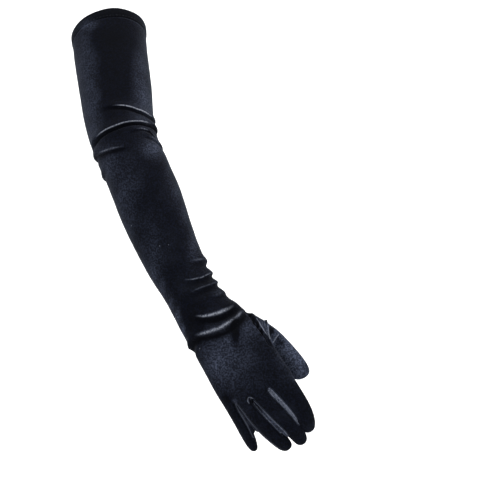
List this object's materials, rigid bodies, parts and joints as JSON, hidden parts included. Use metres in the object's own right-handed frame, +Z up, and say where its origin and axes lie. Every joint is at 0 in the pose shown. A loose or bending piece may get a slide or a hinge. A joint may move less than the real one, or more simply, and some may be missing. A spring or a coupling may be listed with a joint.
{
  "type": "velvet opera glove",
  "caption": "Long velvet opera glove for the right hand, hollow and shaped as worn: a tapering sleeve with crushed folds at elbow and wrist, inset thumb, side strips and a stitched hem.",
  "frame": {"origin": "middle of the arm opening, on the plane of the sleeve's top edge, where the upper arm goes in", "axes": "+Z up, -Y out of the back of the hand, +X to the thumb side; the sleeve runs down from the origin and forward to the fingertips"},
  "size_m": [0.2797, 0.2738, 0.4969],
  "materials": {
    "velvet": "short-pile stretch velvet, blue-black, dark where it faces the eye and grey along its edges and folds"
  },
  "bodies": {
    "root": {"sleeve_upper": "velvet", "sleeve_lower": "velvet", "hand": "velvet", "thumb": "velvet", "fourchette_ring_little": "velvet", "fourchette_middle_ring": "velvet", "fourchette_index_middle": "velvet", "hem_band": "velvet"}
  },
  "joints": []
}
